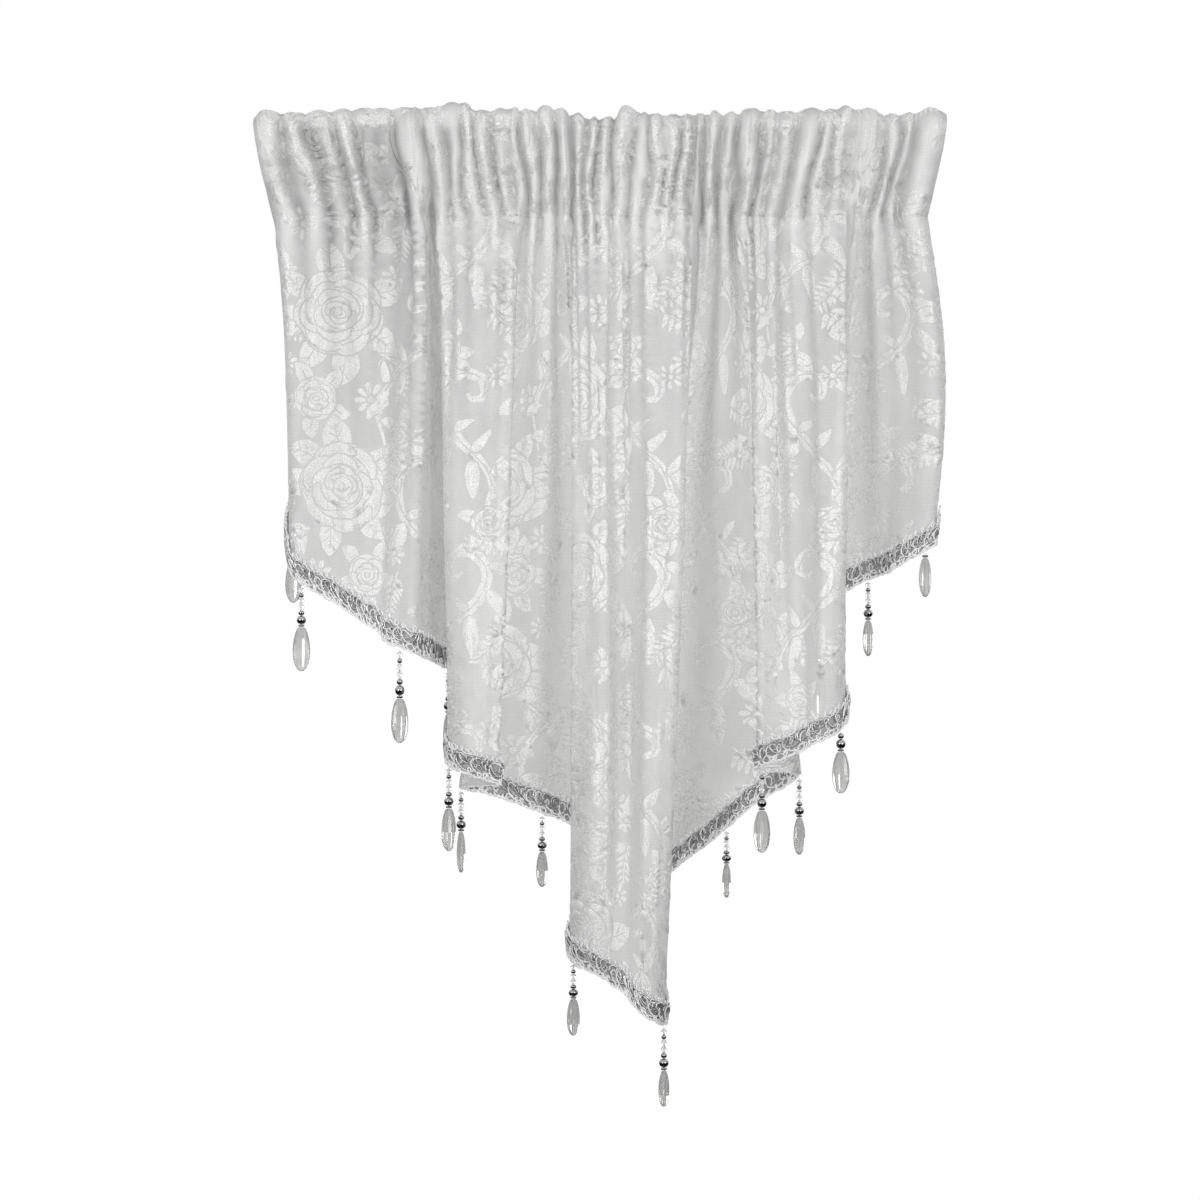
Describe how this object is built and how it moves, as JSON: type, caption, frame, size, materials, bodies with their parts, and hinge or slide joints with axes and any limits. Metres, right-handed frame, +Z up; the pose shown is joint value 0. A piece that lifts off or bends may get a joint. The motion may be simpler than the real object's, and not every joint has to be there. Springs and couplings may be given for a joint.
{
  "type": "beaded lace valance",
  "caption": "Sheer floral lace valance gathered on a rod pocket, its V-shaped hem edged with silver braid and hung with bead pendants.",
  "frame": {"origin": "middle of the heading's top edge, above the rod pocket", "axes": "+Z up, +X to the right seen from the front, -Y towards the room"},
  "size_m": [0.466, 0.0896, 0.6645],
  "materials": {
    "lace": "sheer white floral jacquard lace",
    "braid": "silver and white looped braid",
    "silver_beads": "polished silver beads and clear seed beads on thread",
    "clear_drops": "clear facetted acrylic drop"
  },
  "bodies": {
    "root": {"rod_pocket_heading": "lace", "lace_panel": "lace", "hem_braid": "braid", "bead_string_01": "silver_beads", "clear_drop_01": "clear_drops", "bead_string_02": "silver_beads", "clear_drop_02": "clear_drops", "bead_string_03": "silver_beads", "clear_drop_03": "clear_drops", "bead_string_04": "silver_beads", "clear_drop_04": "clear_drops", "bead_string_05": "silver_beads", "clear_drop_05": "clear_drops", "bead_string_06": "silver_beads", "clear_drop_06": "clear_drops", "bead_string_07": "silver_beads", "clear_drop_07": "clear_drops", "bead_string_08": "silver_beads", "clear_drop_08": "clear_drops", "bead_string_09": "silver_beads", "clear_drop_09": "clear_drops", "bead_string_10": "silver_beads", "clear_drop_10": "clear_drops", "bead_string_11": "silver_beads", "clear_drop_11": "clear_drops", "bead_string_12": "silver_beads", "clear_drop_12": "clear_drops", "bead_string_13": "silver_beads", "clear_drop_13": "clear_drops", "bead_string_14": "silver_beads", "clear_drop_14": "clear_drops", "bead_string_15": "silver_beads", "clear_drop_15": "clear_drops", "bead_string_16": "silver_beads", "clear_drop_16": "clear_drops", "bead_string_17": "silver_beads", "clear_drop_17": "clear_drops", "bead_string_18": "silver_beads", "clear_drop_18": "clear_drops"}
  },
  "joints": []
}
